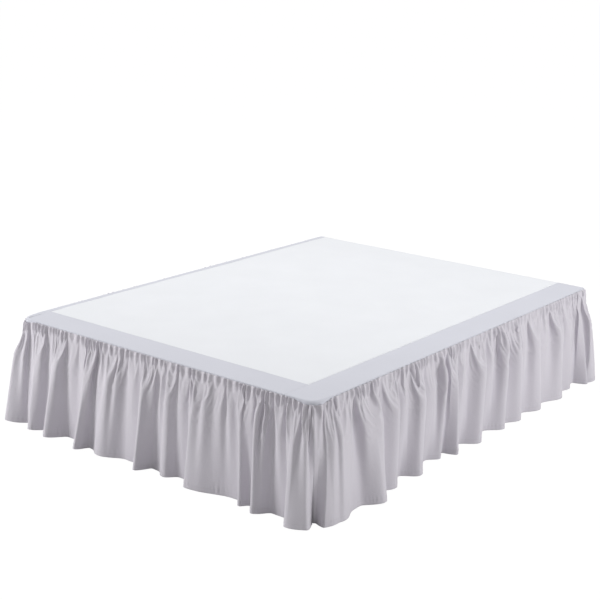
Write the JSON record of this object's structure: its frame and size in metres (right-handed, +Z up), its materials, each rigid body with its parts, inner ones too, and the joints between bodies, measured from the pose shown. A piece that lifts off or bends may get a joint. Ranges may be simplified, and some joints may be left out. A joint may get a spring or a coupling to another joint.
{
  "type": "gathered bed skirt on a box spring with legs",
  "caption": "Gathered ruffle bed skirt with a flat deck and wide edge bands, split at the corners, hanging from a plain box spring on turned legs.",
  "frame": {"origin": "on the floor, under the middle of the whole object's box in plan", "axes": "+Z up, +Y along the bed to its open head end, +X to the right of someone looking from the foot to the head"},
  "size_m": [1.6984, 2.179, 0.457],
  "materials": {
    "box_spring_ticking": "plain off-white quilted ticking",
    "leg_wood": "dark stained wood, satin",
    "deck_cloth": "plain white woven cloth, matte",
    "skirt_cloth": "light grey brushed woven cloth, matte"
  },
  "bodies": {
    "root": {"box_spring": "box_spring_ticking", "leg_1": "leg_wood", "leg_2": "leg_wood", "leg_3": "leg_wood", "leg_4": "leg_wood", "leg_5": "leg_wood", "leg_6": "leg_wood", "deck": "deck_cloth", "band_foot": "skirt_cloth", "band_left": "skirt_cloth", "band_right": "skirt_cloth", "ruffle_foot": "skirt_cloth", "ruffle_left": "skirt_cloth", "ruffle_right": "skirt_cloth"}
  },
  "joints": []
}
